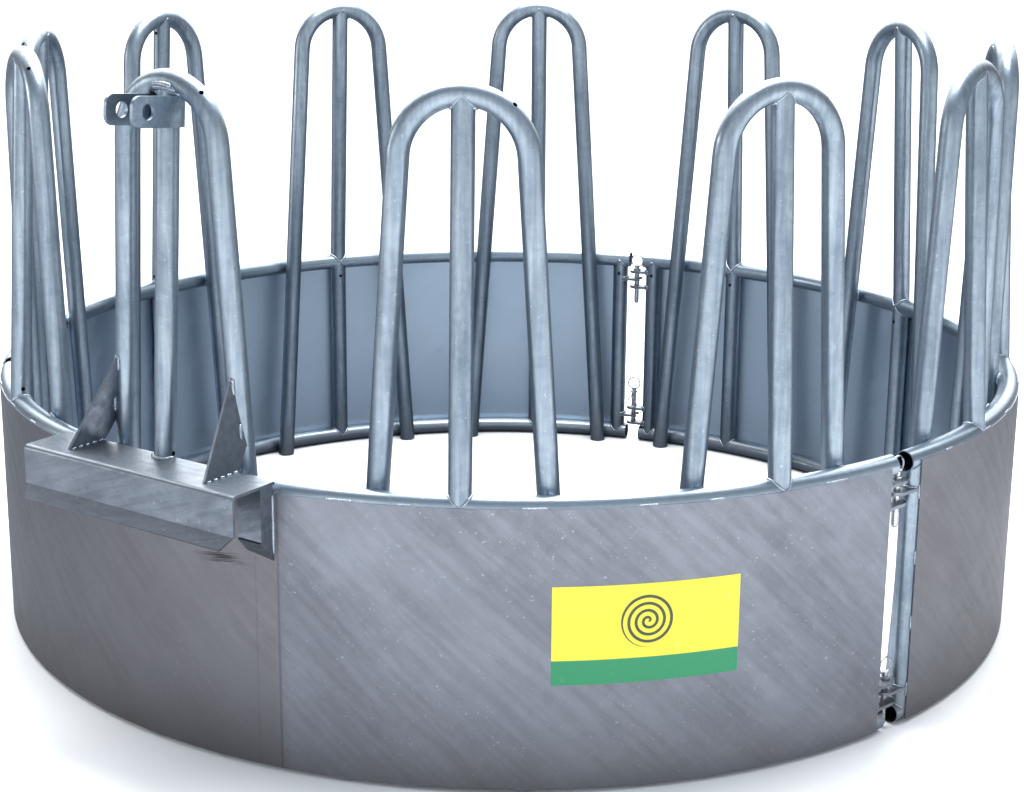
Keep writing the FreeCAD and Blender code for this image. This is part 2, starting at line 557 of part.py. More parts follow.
strip = cut("ear_strip", strip_core("strip_outside", "{ear_gap} / 2 + {ear_plate}", "{ear_height}"),
            strip_core("strip_inside", "{ear_gap} / 2", "2 * {ear_height}"))
link_hole = primitive("Cylinder", "link_hole", {"Radius": "{link_hole_radius}",
                                                "Height": "4 * {ear_gap}"},
                      ("-2 * {ear_gap}", f"-{EAR_REACH} + {{link_hole_inset}}", "0"),
                      [(Y_AXIS, "90")])
corner_tools = [link_hole]
for name, up in (("upper", 1), ("lower", -1)):
    block = primitive("Box", f"ear_corner_{name}",
                      {"Length": "4 * {ear_gap}", "Width": "{ear_corner} + {ear_plate}",
                       "Height": "{ear_corner} + {ear_plate}"},
                      ("-2 * {ear_gap}", f"-{EAR_REACH} - {{ear_plate}}",
                       "{ear_height} / 2 - {ear_corner}" if up > 0
                       else "-{ear_height} / 2 - {ear_plate}"))
    round_end = primitive("Cylinder", f"ear_round_{name}",
                          {"Radius": "{ear_corner}", "Height": "6 * {ear_gap}"},
                          ("-3 * {ear_gap}", f"-{EAR_REACH} + {{ear_corner}}",
                           f"{up} * ({{ear_height}} / 2 - {{ear_corner}})"), [(Y_AXIS, "90")])
    corner_tools.append(cut(f"ear_corner_tool_{name}", block, round_end))
bracket_blank = group("bracket_blank", [cut("bracket_strip", strip,
                                            fuse("bracket_tools", corner_tools))])
place(bracket_blank, ("0", "-" + POST_AT_EAR, "{ear_level}"), [(X_AXIS, "-{ear_tilt}")])
hoop_at_bracket = fuse("hoop_at_bracket", [
    primitive("Cylinder", "post_at_bracket",
              {"Radius": "{tube_radius} + {hair_gap}", "Height": "{post_length}"},
              ("0", "-{rail_radius}", "{top_rail_height}"), [(X_AXIS, "-{post_lean}")]),
    primitive("Torus", "crown_at_bracket",
              {"Radius1": "{hoop_bend_radius}", "Radius2": "{tube_radius} + {hair_gap}",
               "Angle3": "180"},
              ("0", "-{hoop_base} - {bend_height} * sin({hoop_lean})",
               "{bend_height} * cos({hoop_lean})"), [(X_AXIS, "90 + {hoop_lean}")]),
])
bracket = node(cut("bracket_shape", bracket_blank, hoop_at_bracket), "top_link_bracket")
ring_place(bracket, HITCH_AZIMUTH)

# --- build, check and export ----------------------------------------------------------------
doc.recompute()
os.makedirs("parts", exist_ok=True)
for thing in doc.Objects:
    if any(word in ("Invalid", "Error") for word in thing.State):
        raise RuntimeError(f"{thing.Name} is {thing.State}")
for thing in nodes:
    if thing.Shape.isNull() or not thing.Shape.isValid():
        raise RuntimeError(f"{thing.Label} has a bad shape")
    thing.Shape.exportStep(f"parts/{thing.Label}.step")
    box = thing.Shape.BoundBox
    print(f"{thing.Label:20s} solids {len(thing.Shape.Solids)} volume {thing.Shape.Volume:11.0f}"
          f"  x {box.XMin:7.1f} {box.XMax:7.1f}  y {box.YMin:7.1f} {box.YMax:7.1f}"
          f"  z {box.ZMin:7.1f} {box.ZMax:7.1f}")
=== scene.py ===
# %% [markdown]
# # A round bale feeder
# Three curved panels stand in a ring round a hay bale. Each panel is a steel sheet welded
# between two bent tubes, with four tall hoops that cattle put their heads through. After
# the welding each panel was dipped in molten zinc, so everything wears one grey coat.
# The tubes, plates and pins come from the CAD model. This lesson adds what a CAD model
# leaves out: the zinc's finish, the weld beads, the label and a wire clip.

# %% Load the frame
import bpy
import numpy as np
from mathutils import Matrix, Vector


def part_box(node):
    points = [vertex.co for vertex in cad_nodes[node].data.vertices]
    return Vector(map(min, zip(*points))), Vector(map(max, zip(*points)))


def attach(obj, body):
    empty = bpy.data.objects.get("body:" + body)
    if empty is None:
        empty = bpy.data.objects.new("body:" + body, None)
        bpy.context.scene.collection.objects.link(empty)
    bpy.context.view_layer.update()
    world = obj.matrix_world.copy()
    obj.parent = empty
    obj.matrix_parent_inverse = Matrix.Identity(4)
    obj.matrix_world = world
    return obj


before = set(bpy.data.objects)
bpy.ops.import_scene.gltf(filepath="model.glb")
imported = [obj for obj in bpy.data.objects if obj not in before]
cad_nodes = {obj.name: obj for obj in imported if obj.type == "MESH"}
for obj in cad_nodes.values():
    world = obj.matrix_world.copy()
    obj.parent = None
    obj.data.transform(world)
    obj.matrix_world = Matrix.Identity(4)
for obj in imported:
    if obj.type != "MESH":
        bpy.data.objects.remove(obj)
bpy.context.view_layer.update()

# %% [markdown]
# Everything on the ring is easiest to place by its azimuth, the angle round the ring from
# the hitch side. So the first step measures the ring from the CAD nodes: panel b reaches
# the ring's widest points, and its sheet and tubes give every radius that is needed.

# %% Measure the ring
sheet_low, sheet_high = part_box("b_skirt_sheet")
top_low, top_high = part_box("b_top_rail")
bottom_low, bottom_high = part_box("b_bottom_rail")
SKIRT_RADIUS = sheet_high.x
RING_Y = sheet_high.y - SKIRT_RADIUS
TUBE = (top_high.z - top_low.z) / 2
TOP_RAIL = (top_high.z + top_low.z) / 2
BOTTOM_RAIL = (bottom_high.z + bottom_low.z) / 2
RAIL_RADIUS = top_high.x - TUBE
SHEET_BOTTOM, SHEET_TOP = sheet_low.z, sheet_high.z
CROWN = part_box("a_hoop_2")[1].z - TUBE
SEAMS = {"a": (-45.0, 75.0), "b": (75.0, 195.0), "c": (195.0, 315.0)}
HOOPS = {"a": (-30, 0, 30, 60), "b": (90, 120, 150, 180), "c": (210, 240, 270, 300)}
print("skirt radius", round(SKIRT_RADIUS, 4), "tube", round(TUBE, 4), "crown", round(CROWN, 4))


def ring_point(azimuth, reach, height):
    """The point at an azimuth in degrees, a distance from the ring's axis and a height:
    x = reach sin(azimuth), y = ring centre - reach cos(azimuth), z = height."""
    turn = np.radians(np.asarray(azimuth, float))
    x, y, z = np.broadcast_arrays(reach * np.sin(turn), RING_Y - reach * np.cos(turn),
                                  np.asarray(height, float))
    return np.stack([x, y, z], axis=-1)


def ring_axes(azimuth):
    """The three directions at an azimuth: along the ring, outwards, and up."""
    turn = np.radians(azimuth)
    return (np.array([np.cos(turn), np.sin(turn), 0.0]),
            np.array([np.sin(turn), -np.cos(turn), 0.0]),
            np.array([0.0, 0.0, 1.0]))


# %% [markdown]
# The camera stands a little above a person's chest height, on the right of the hitch, and
# looks slightly down so that the far side of the ring shows over the near side. Its own
# axes are worked out from three angles: how far it is turned, tipped and rolled.

# %% Camera
CAMERA_AZIMUTH, CAMERA_REACH, CAMERA_HEIGHT = 34.2, 3.779, 1.4398
CAMERA_YAW, CAMERA_PITCH, CAMERA_ROLL = -0.0101, -0.2509, 0.006


def camera_matrix():
    """Forward = (sin yaw cos pitch, cos yaw cos pitch, sin pitch), right = (cos yaw,
    -sin yaw, 0), up = right x forward, then rolled and turned to the camera's azimuth."""
    yaw, pitch, roll = CAMERA_YAW, CAMERA_PITCH, CAMERA_ROLL
    forward = np.array([np.sin(yaw) * np.cos(pitch), np.cos(yaw) * np.cos(pitch), np.sin(pitch)])
    right = np.array([np.cos(yaw), -np.sin(yaw), 0.0])
    up = np.cross(right, forward)
    side = right * np.cos(roll) + up * np.sin(roll)
    top = up * np.cos(roll) - right * np.sin(roll)
    aim = Matrix([[side[i], top[i], -forward[i]] for i in range(3)]).to_4x4()
    stand = Vector(ring_point(CAMERA_AZIMUTH, CAMERA_REACH, CAMERA_HEIGHT))
    return Matrix.Translation(stand) @ Matrix.Rotation(np.radians(CAMERA_AZIMUTH), 4, "Z") @ aim


camera_data = bpy.data.cameras.new("camera")
camera_data.sensor_width = 36.0
camera_data.lens = 65.24
camera_data.shift_x, camera_data.shift_y = 0.0213, -0.0402
camera = bpy.data.objects.new("camera", camera_data)
bpy.context.scene.collection.objects.link(camera)
camera.matrix_world = camera_matrix()
bpy.context.scene.camera = camera
print("camera at", tuple(round(v, 3) for v in camera.location))

# %% [markdown]
# Every finish, and the studio too, is made of nodes: small boxes that each do one sum on a
# number, a direction or a colour. Placing and linking them one by one takes many lines, so
# the helpers below let a tree of nodes be written as a list of short lines.

# %% Node helpers


def new_group(name, inputs, outputs):
    """An empty node group with the named sockets; inputs are (name, type, value)."""
    group = bpy.data.node_groups.new(name, "ShaderNodeTree")
    for title, kind, value in inputs:
        socket = group.interface.new_socket(title, in_out="INPUT", socket_type=kind)
        if value is not None:
            socket.default_value = value
    for title, kind in outputs:
        group.interface.new_socket(title, in_out="OUTPUT", socket_type=kind)
    return group


def add(tree, kind, settings=None, **sources):
    """A new node. Settings are its own choices; sources feed its sockets, which are named
    or numbered in_0, in_1: a socket is linked, and anything else is set as a value."""
    node = tree.nodes.new("ShaderNode" + kind)
    for key, value in (settings or {}).items():
        setattr(node, key, value)
    for key, source in sources.items():
        socket = node.inputs[int(key[3:]) if key.startswith("in_") else key]
        if isinstance(source, bpy.types.NodeSocket):
            tree.links.new(source, socket)
        else:
            socket.default_value = source
    return node


def math(tree, operation, *terms):
    """One Math node, fed in order; gives its output socket."""
    return add(tree, "Math", {"operation": operation},
               **{f"in_{i}": term for i, term in enumerate(terms)}).outputs[0]


def blend_colour(tree, mask, first, second):
    """Mix two colours by a mask."""
    node = add(tree, "Mix", {"data_type": "RGBA"}, in_0=mask, in_6=first, in_7=second)
    return node.outputs[2]


def share_along(tree, direction, way):
    """The dot product of a direction or place with a fixed way: large where they agree."""
    return add(tree, "VectorMath", {"operation": "DOT_PRODUCT"},
               in_0=direction, in_1=way).outputs["Value"]


def smooth_range(tree, value, start, end, low=0.0, high=1.0):
    """A smooth ramp from low at start to high at end."""
    node = add(tree, "MapRange", {"interpolation_type": "SMOOTHSTEP"})
    for key, source in (("Value", value), ("From Min", start), ("From Max", end),
                        ("To Min", low), ("To Max", high)):
        if isinstance(source, bpy.types.NodeSocket):
            tree.links.new(source, node.inputs[key])
        else:
            node.inputs[key].default_value = source
    return node.outputs["Result"]


print("helpers ready")

# %% [markdown]
# Bare zinc is a mirror with a fog over it, so it looks like whatever stands round it. On a
# real yard the open side is bright and the far side is dark, which gives a tube its bright
# middle and dark edges. The floor here is plain and pale to look at, but what the metal
# mirrors of it darkens away from the open side. The Light Path node tells such rays apart.

# %% Floor
FLOOR_SIZE = 60.0
FLOOR_PALE, YARD_DARK = (0.93, 0.93, 0.93, 1.0), (0.13, 0.145, 0.17, 1.0)
YARD_SIDE = (0.77, -0.64, 0.0)
YARD_EDGE = (-1.0, 2.6)

floor_mesh = bpy.data.meshes.new("floor")
half = FLOOR_SIZE / 2
floor_mesh.from_pydata([(-half, -half, 0), (half, -half, 0), (half, half, 0), (-half, half, 0)],
                       [], [(0, 1, 2, 3)])
floor = bpy.data.objects.new("floor", floor_mesh)
bpy.context.scene.collection.objects.link(floor)

floor_finish = bpy.data.materials.new("pale_floor")
floor_finish.use_nodes = True
tree = floor_finish.node_tree
floor_shader = tree.nodes["Principled BSDF"]
floor_shader.inputs["Roughness"].default_value = 0.9
ahead = share_along(tree, add(tree, "TexCoord").outputs["Object"], YARD_SIDE)
mirrored = blend_colour(tree, smooth_range(tree, ahead, *YARD_EDGE), YARD_DARK, FLOOR_PALE)
shiny = add(tree, "LightPath").outputs["Is Glossy Ray"]
tree.links.new(blend_colour(tree, shiny, FLOOR_PALE, mirrored),
               floor_shader.inputs["Base Color"])
floor.data.materials.append(floor_finish)
print("floor", FLOOR_SIZE, "metres wide")

# %% [markdown]
# Three large soft lamps stand in for windows. A skylight fills the inside of the ring, and
# one lamp at the left and one in front give the tubes their long highlights. An area lamp
# shines along its own -Z axis, so each is aimed with a small look-at matrix.

# %% Lamps


def look_at(spot, target):
    """The matrix of a lamp at spot whose -Z axis points at target."""
    turn = (Vector(target) - Vector(spot)).to_track_quat("-Z", "Y")
    return Matrix.Translation(Vector(spot)) @ turn.to_matrix().to_4x4()


def soft_lamp(name, spot, target, width, power, colour):
    """A square area lamp that makes soft edged light."""
    data = bpy.data.lights.new(name, "AREA")
    data.size, data.energy, data.color = width, power, colour
    lamp = bpy.data.objects.new(name, data)
    bpy.context.scene.collection.objects.link(lamp)
    lamp.matrix_world = look_at(spot, target)
    return lamp


LAMPS = (("skylight", (0.0, 0.4, 3.6), (0, 0.1, 0), 2.4, 170.0, (0.98, 0.99, 1.0)),
         ("window_left", (-6.0, -4.5, 1.9), (0, 0, 0.6), 2.6, 110.0, (1.0, 0.99, 0.97)),
         ("window_front", (1.5, -7.5, 2.2), (0, 0, 0.6), 3.0, 25.0, (0.96, 0.98, 1.0)))
for lamp in LAMPS:
    soft_lamp(*lamp)
print(len(LAMPS), "lamps")

# %% [markdown]
# The sky is a ramp of colours from the horizon up, with a wide glow high behind the feeder
# that whitens every upward face. As with the floor, mirrored rays see the horizon dimmer
# away from the open side.

# %% Sky
GLOW_SIDE, GLOW_EDGE, GLOW = (-0.40, 0.58, 0.70), (0.5, 0.95), 4.0
SKY_EDGE, SKY_DARK = (-0.5, 0.9), 0.22
SKY_BANDS = ((0.0, (0.66, 0.71, 0.77)), (0.22, (0.98, 1.0, 1.0)),
             (0.55, (0.58, 0.65, 0.74)), (1.0, (0.46, 0.53, 0.62)))

world = bpy.data.worlds.new("studio")
world.use_nodes = True
bpy.context.scene.world = world
tree = world.node_tree
direction = add(tree, "TexCoord").outputs["Generated"]
band = add(tree, "ValToRGB", Fac=add(tree, "SeparateXYZ", Vector=direction).outputs["Z"])
for step, (position, colour) in enumerate(SKY_BANDS):
    if step > 1:
        band.color_ramp.elements.new(position)
    band.color_ramp.elements[step].position = position
    band.color_ramp.elements[step].color = (*colour, 1.0)
open_side = smooth_range(tree, share_along(tree, direction, YARD_SIDE), *SKY_EDGE, SKY_DARK, 1.0)
dimmed = add(tree, "VectorMath", {"operation": "SCALE"},
             in_0=band.outputs["Color"], Scale=open_side).outputs["Vector"]
shiny = add(tree, "LightPath").outputs["Is Glossy Ray"]
glow = smooth_range(tree, share_along(tree, direction, GLOW_SIDE), *GLOW_EDGE, 0.0, GLOW)
sky = add(tree, "VectorMath", {"operation": "ADD"},
          in_0=blend_colour(tree, shiny, band.outputs["Color"], dimmed), in_1=glow)
tree.links.new(sky.outputs["Vector"], tree.nodes["Background"].inputs["Color"])
bpy.context.scene.view_settings.view_transform = "Standard"
print("sky of", len(SKY_BANDS), "bands")

# %% [markdown]
# Several finishes share the same effects, so each effect is a node group with named inputs
# and outputs. A group is a small machine: it takes a position and gives a mask from 0 to 1.
#
# **Round the ring.** Rolling and brushing follow the sheet as it bends, so their patterns
# are drawn on the ring unrolled: one axis runs along the skirt, one runs outwards and one
# up. The angle is the arctangent of x over the distance towards the hitch. It starts again
# at the back seam, where a real gap hides the step in the pattern.

# %% Group: unrolled ring
unrolled = new_group("unrolled_ring", [], [("Vector", "NodeSocketVector"),
                                           ("Azimuth", "NodeSocketFloat"),
                                           ("Height", "NodeSocketFloat")])
tree = unrolled
place = add(tree, "TexCoord").outputs["Object"]
axes = add(tree, "SeparateXYZ", Vector=place)
towards = math(tree, "SUBTRACT", RING_Y, axes.outputs["Y"])
PATTERN_END = np.radians(SEAMS["b"][1])
angle = math(tree, "WRAP", math(tree, "ARCTAN2", axes.outputs["X"], towards),
             PATTERN_END, PATTERN_END - 2 * np.pi)
along = math(tree, "MULTIPLY", angle, SKIRT_RADIUS)
reach = math(tree, "SQRT", math(tree, "ADD", math(tree, "MULTIPLY", axes.outputs["X"],
                                                  axes.outputs["X"]),
                                math(tree, "MULTIPLY", towards, towards)))
flat = add(tree, "CombineXYZ", X=along, Y=reach, Z=axes.outputs["Z"])
ends = tree.nodes.new("NodeGroupOutput")
tree.links.new(flat.outputs["Vector"], ends.inputs["Vector"])
tree.links.new(math(tree, "DEGREES", angle), ends.inputs["Azimuth"])
tree.links.new(axes.outputs["Z"], ends.inputs["Height"])
print("group", unrolled.name)

# %% [markdown]
# **Streaks.** A streak is noise that has been stretched: many waves across and few along.
# The same group makes the fine brushing and the broad cloudy bands of the dipped sheet,
# because only its two scales and its angle differ.

# %% Group: streaks
streaks = new_group("streaks", [("Vector", "NodeSocketVector", None),
                                ("Angle", "NodeSocketFloat", 0.0),
                                ("Along", "NodeSocketFloat", 3.0),
                                ("Across", "NodeSocketFloat", 60.0),
                                ("Seed", "NodeSocketFloat", 0.0)],
                    [("Streak", "NodeSocketFloat")])
tree = streaks
given = tree.nodes.new("NodeGroupInput")
turn = add(tree, "CombineXYZ", Y=given.outputs["Angle"])
turned = add(tree, "VectorRotate", {"rotation_type": "EULER_XYZ"},
             Vector=given.outputs["Vector"], Rotation=turn.outputs[0])
scale = add(tree, "CombineXYZ", X=given.outputs["Along"], Y=given.outputs["Across"],
            Z=given.outputs["Across"])
stretched = add(tree, "VectorMath", {"operation": "MULTIPLY"},
                in_0=turned.outputs[0], in_1=scale.outputs[0])
waves = add(tree, "TexNoise", {"noise_dimensions": "4D"}, Vector=stretched.outputs[0],
            W=given.outputs["Seed"], Scale=1.0, Detail=4.0, Roughness=0.6)
ends = tree.nodes.new("NodeGroupOutput")
tree.links.new(smooth_range(tree, waves.outputs["Fac"], 0.32, 0.68), ends.inputs["Streak"])
print("group", streaks.name)

# %% [markdown]
# **Zinc bloom.** Hot dipped zinc cools into faint crystals, the spangle, and dries in soft
# clouds. Cells make the spangle, and slow noise makes the clouds. Small pale specks are
# where zinc splashed, and small dark ones are pits.

# %% Group: zinc bloom
bloom = new_group("zinc_bloom", [("Vector", "NodeSocketVector", None),
                                 ("Crystal size", "NodeSocketFloat", 90.0)],
                  [("Tone", "NodeSocketFloat"), ("Specks", "NodeSocketFloat"),
                   ("Pits", "NodeSocketFloat")])
tree = bloom
given = tree.nodes.new("NodeGroupInput")
wobble = add(tree, "TexNoise", Vector=given.outputs["Vector"], Scale=14.0, Detail=3.0)
pushed = add(tree, "MixRGB", {"blend_type": "LINEAR_LIGHT"}, Fac=0.02,
             Color1=given.outputs["Vector"], Color2=wobble.outputs["Color"])
cells = add(tree, "TexVoronoi", Vector=pushed.outputs[0],
            Scale=given.outputs["Crystal size"], Randomness=1.0)
crystal = add(tree, "SeparateColor", Color=cells.outputs["Color"]).outputs[0]
clouds = add(tree, "TexNoise", Vector=given.outputs["Vector"], Scale=5.0, Detail=5.0,
             Roughness=0.62)
tone = math(tree, "ADD", math(tree, "MULTIPLY", crystal, 0.28),
            math(tree, "MULTIPLY", smooth_range(tree, clouds.outputs["Fac"], 0.3, 0.7), 0.72))
fine = add(tree, "TexNoise", Vector=given.outputs["Vector"], Scale=160.0, Detail=2.0)
ends = tree.nodes.new("NodeGroupOutput")
tree.links.new(tone, ends.inputs["Tone"])
tree.links.new(smooth_range(tree, fine.outputs["Fac"], 0.68, 0.76), ends.inputs["Specks"])
tree.links.new(smooth_range(tree, fine.outputs["Fac"], 0.31, 0.24), ends.inputs["Pits"])
print("group", bloom.name)

# %% [markdown]
# **Yard wear.** Near the ground, rain splash and boots leave the zinc duller and a little
# brown. The mask is strongest at the floor, fades by knee height and is broken up by noise.

# %% Group: ground splash
splash = new_group("ground_splash", [("Vector", "NodeSocketVector", None),
                                     ("Fade height", "NodeSocketFloat", 0.12)],
                   [("Splash", "NodeSocketFloat")])
tree = splash
given = tree.nodes.new("NodeGroupInput")
height = add(tree, "SeparateXYZ", Vector=given.outputs["Vector"]).outputs["Z"]
patches = add(tree, "TexNoise", Vector=given.outputs["Vector"], Scale=22.0, Detail=5.0)
level = math(tree, "ADD", height, math(tree, "MULTIPLY", patches.outputs["Fac"], -0.08))
ends = tree.nodes.new("NodeGroupOutput")
tree.links.new(smooth_range(tree, level, given.outputs["Fade height"], -0.05),
               ends.inputs["Splash"])
print("group", splash.name)

# %% [markdown]
# Now the finishes. All are zinc, so they share one recipe: a base colour that moves between
# a dull and a bright tone, a roughness that moves with it, and a shallow bump. The sheet,
# the tubes, the thick plates and the small hardware each get their own values.

# %% Zinc recipe


def place_group(tree, group, **sources):
    """Put a node group in a tree, with its inputs linked or set."""
    node = tree.nodes.new("ShaderNodeGroup")
    node.node_tree = group
    for key, source in sources.items():
        socket = node.inputs[key.replace("_", " ")]
        if isinstance(source, bpy.types.NodeSocket):
            tree.links.new(source, socket)
        else:
            socket.default_value = source
    return node


SPECK, PIT, DIRT = (0.72, 0.76, 0.8, 1.0), (0.12, 0.12, 0.13, 1.0), (0.30, 0.27, 0.24, 1.0)
CLOUD_SHARE = 0.55


def zinc(name, dull, bright, rough, streak_angle, along, across, crystals=90.0, bump=0.12):
    """One zinc finish. Gives the material, its tree, its shader and the nodes that later
    cells may build on: the colour and the unrolled position."""
    material = bpy.data.materials.new(name)
    material.use_nodes = True
    tree = material.node_tree
    shader = tree.nodes["Principled BSDF"]
    shader.inputs["Metallic"].default_value = 1.0
    ring = place_group(tree, unrolled)
    flat = ring.outputs["Vector"]
    clouds = place_group(tree, bloom, Vector=flat, Crystal_size=crystals)
    lines = place_group(tree, streaks, Vector=flat, Angle=streak_angle, Along=along,
                        Across=across, Seed=2.0)
    dirt = place_group(tree, splash, Vector=flat, Fade_height=0.10)
    mask = math(tree, "ADD", math(tree, "MULTIPLY", clouds.outputs["Tone"], CLOUD_SHARE),
                math(tree, "MULTIPLY", lines.outputs["Streak"], 1 - CLOUD_SHARE))
    colour = blend_colour(tree, mask, (*dull, 1.0), (*bright, 1.0))
    colour = blend_colour(tree, math(tree, "MULTIPLY", clouds.outputs["Specks"], 0.3),
                          colour, SPECK)
    colour = blend_colour(tree, math(tree, "MULTIPLY", clouds.outputs["Pits"], 0.35),
                          colour, PIT)
    colour = blend_colour(tree, math(tree, "MULTIPLY", dirt.outputs["Splash"], 0.35),
                          colour, DIRT)
    tree.links.new(colour, shader.inputs["Base Color"])
    tree.links.new(smooth_range(tree, mask, 0.0, 1.0, rough[0], rough[1]),
                   shader.inputs["Roughness"])
    relief = math(tree, "ADD", mask, math(tree, "MULTIPLY", clouds.outputs["Specks"], 0.6))
    dent = add(tree, "Bump", Strength=bump, Distance=0.002, Height=relief)
    tree.links.new(dent.outputs["Normal"], shader.inputs["Normal"])
    return {"material": material, "tree": tree, "shader": shader, "colour": colour,
            "ring": ring}


UPRIGHT = np.radians(90.0)
upright_zinc = zinc("zinc_upright_tube", (0.165, 0.212, 0.265), (0.375, 0.44, 0.505),
                    rough=(0.44, 0.30), streak_angle=UPRIGHT, along=4.0, across=90.0)
rail_zinc = zinc("zinc_ring_tube", (0.20, 0.26, 0.325), (0.40, 0.47, 0.54),
                 rough=(0.42, 0.26), streak_angle=0.0, along=4.0, across=90.0)
plate_zinc = zinc("zinc_plate", (0.13, 0.152, 0.185), (0.275, 0.305, 0.35),
                  rough=(0.48, 0.32), streak_angle=0.35, along=6.0, across=70.0, crystals=70.0)
hardware_zinc = zinc("zinc_hardware", (0.34, 0.36, 0.38), (0.66, 0.68, 0.70),
                     rough=(0.36, 0.22), streak_angle=0.8, along=30.0, across=160.0,
                     crystals=300.0)
weld_zinc = zinc("zinc_weld", (0.26, 0.31, 0.37), (0.55, 0.61, 0.68),
                 rough=(0.42, 0.26), streak_angle=0.4, along=40.0, across=120.0,
                 crystals=250.0, bump=0.35)
print("five zinc finishes")

# %% [markdown]
# The skirt sheet is the largest surface, so it gets more: broad slanting bands left by the
# rinse and a fine mist across them. Its inside face is painted paler and bluer, a painted
# reflection of the sky. The group's Y output is the distance from the ring's axis, so it tells the
# two sides apart.

# %% Skirt bands and painted inside reflection
BAND_TONE, MIST_TONE = (0.285, 0.31, 0.36, 1.0), (0.165, 0.165, 0.18, 1.0)
# The pale blue tone is a painted reflection of the sky on the sheet's inside face.
PAINTED_SKY_REFLECTION = (0.58, 0.70, 0.82, 1.0)
skirt_zinc = zinc("zinc_skirt", (0.154, 0.163, 0.188), (0.236, 0.252, 0.292),
                  rough=(0.50, 0.38), streak_angle=-0.75, along=5.0, across=60.0,
                  crystals=55.0, bump=0.05)
tree = skirt_zinc["tree"]
ring = skirt_zinc["ring"].outputs
bands = place_group(tree, streaks, Vector=ring["Vector"], Angle=-0.95, Along=0.9,
                    Across=6.0, Seed=7.0)
mist = place_group(tree, streaks, Vector=ring["Vector"], Angle=0.6, Along=1.4,
                   Across=16.0, Seed=4.0)
skirt_colour = blend_colour(tree, math(tree, "MULTIPLY", bands.outputs["Streak"], 0.5),
                            skirt_zinc["colour"], BAND_TONE)
skirt_colour = blend_colour(tree, math(tree, "MULTIPLY", mist.outputs["Streak"], 0.16),
                            skirt_colour, MIST_TONE)
# Painted reflection: the inside face is mixed towards a pale sky blue.
from_axis = add(tree, "SeparateXYZ", Vector=ring["Vector"]).outputs["Y"]
inside = math(tree, "LESS_THAN", from_axis, SKIRT_RADIUS - 0.001)
skirt_colour = blend_colour(tree, math(tree, "MULTIPLY", inside, 0.85), skirt_colour,
                            PAINTED_SKY_REFLECTION)
print("skirt bands")

# %% [markdown]
# Near the hitch the sheet shows two thin dark upright lines. A darker brown tint is painted
# on the hitch's side of them and on part of the panel to the right: painted shade that stands in
# for the darker yard these sides of the ring mirror. A few black scuffs lie under the hook rail
# where the carrier's bar rubs. Lines and edges are given by their azimuth in degrees.

# %% Skirt seams, painted shade and scuffs
SEAM_LINES = ((13.3, 0.22, 0.75), (11.0, 0.16, 0.3))
# Where the painted shade lies, and its darker brown tone.
PAINTED_SHADE_SPANS = (((-70.0, -30.0), (14.5, 12.5)), ((72.0, 78.0), (150.0, 110.0)))
PAINTED_SHADE_TONE, LINE_TONE, SCUFF_TONE = ((0.165, 0.152, 0.156, 1.0), (0.12, 0.12, 0.13, 1.0),
                                (0.03, 0.03, 0.035, 1.0))
SCUFF_AZIMUTH, SCUFF_REACH, SCUFF_HEIGHT = 7.5, 4.2, 0.362


def seam_line(centre, width):
    """A thin upright line at an azimuth: 1 at its centre, 0 beyond its width in degrees."""
    distance = math(tree, "ABSOLUTE", math(tree, "SUBTRACT", ring["Azimuth"], centre))
    return smooth_range(tree, distance, width, 0.0)


# Painted shade: the sheet is darkened and browned where it turns away from the view.
painted_shade_parts = [math(tree, "MULTIPLY", smooth_range(tree, ring["Azimuth"], *start),
              smooth_range(tree, ring["Azimuth"], *end)) for start, end in PAINTED_SHADE_SPANS]
skirt_colour = blend_colour(tree, math(tree, "MULTIPLY", math(tree, "ADD", *painted_shade_parts), 0.6),
                            skirt_colour, PAINTED_SHADE_TONE)
for azimuth, width, strength in SEAM_LINES:
    line = math(tree, "MULTIPLY", seam_line(azimuth, width), strength)
    skirt_colour = blend_colour(tree, line, skirt_colour, LINE_TONE)
scratches = place_group(tree, streaks, Vector=ring["Vector"], Angle=0.12, Along=9.0,
                        Across=420.0, Seed=11.0)
above = math(tree, "ABSOLUTE", math(tree, "SUBTRACT", ring["Height"], SCUFF_HEIGHT))
rubbed_here = math(tree, "MULTIPLY", seam_line(SCUFF_AZIMUTH, SCUFF_REACH),
                   smooth_range(tree, above, 0.016, 0.004))
scuffs = math(tree, "MULTIPLY", rubbed_here,
              smooth_range(tree, scratches.outputs["Streak"], 0.62, 0.86))
skirt_colour = blend_colour(tree, math(tree, "MULTIPLY", scuffs, 0.85), skirt_colour, SCUFF_TONE)
tree.links.new(skirt_colour, skirt_zinc["shader"].inputs["Base Color"])
print("skirt finish with", len(SEAM_LINES), "seam lines")

# %% [markdown]
# Each CAD node takes a finish by its kind: sheets, upright tubes, ring tubes, thick plates
# or small hardware. Only its material changes.

# %% Paint the CAD nodes
FINISHES = (("skirt_sheet", skirt_zinc), ("rail_guide", plate_zinc), ("hook_rail", plate_zinc),
            ("gusset", plate_zinc), ("bracket", rail_zinc), ("top_rail", rail_zinc),
            ("bottom_rail", rail_zinc), ("posts", upright_zinc), ("hoop", upright_zinc),
            ("lugs", plate_zinc), ("pin", hardware_zinc), ("pull_ring", hardware_zinc))
for name, node in cad_nodes.items():
    finish = next(f for word, f in FINISHES if word in name)
    if not node.material_slots:
        node.data.materials.append(None)
    for slot in node.material_slots:
        slot.link = "OBJECT"
        slot.material = finish["material"]
print("painted", len(cad_nodes), "nodes")

# %% [markdown]
# **Weld beads.** A bead is a small swept tube: a path along the joint, a round section, and
# a radius that ripples where each drop of metal froze. Its ends taper shut. All beads of
# a panel are gathered into one mesh, which rides on that panel.

# %% Bead surface
BEAD_SIDES = 8
RIPPLE = 0.0042
SMALLEST = 0.02


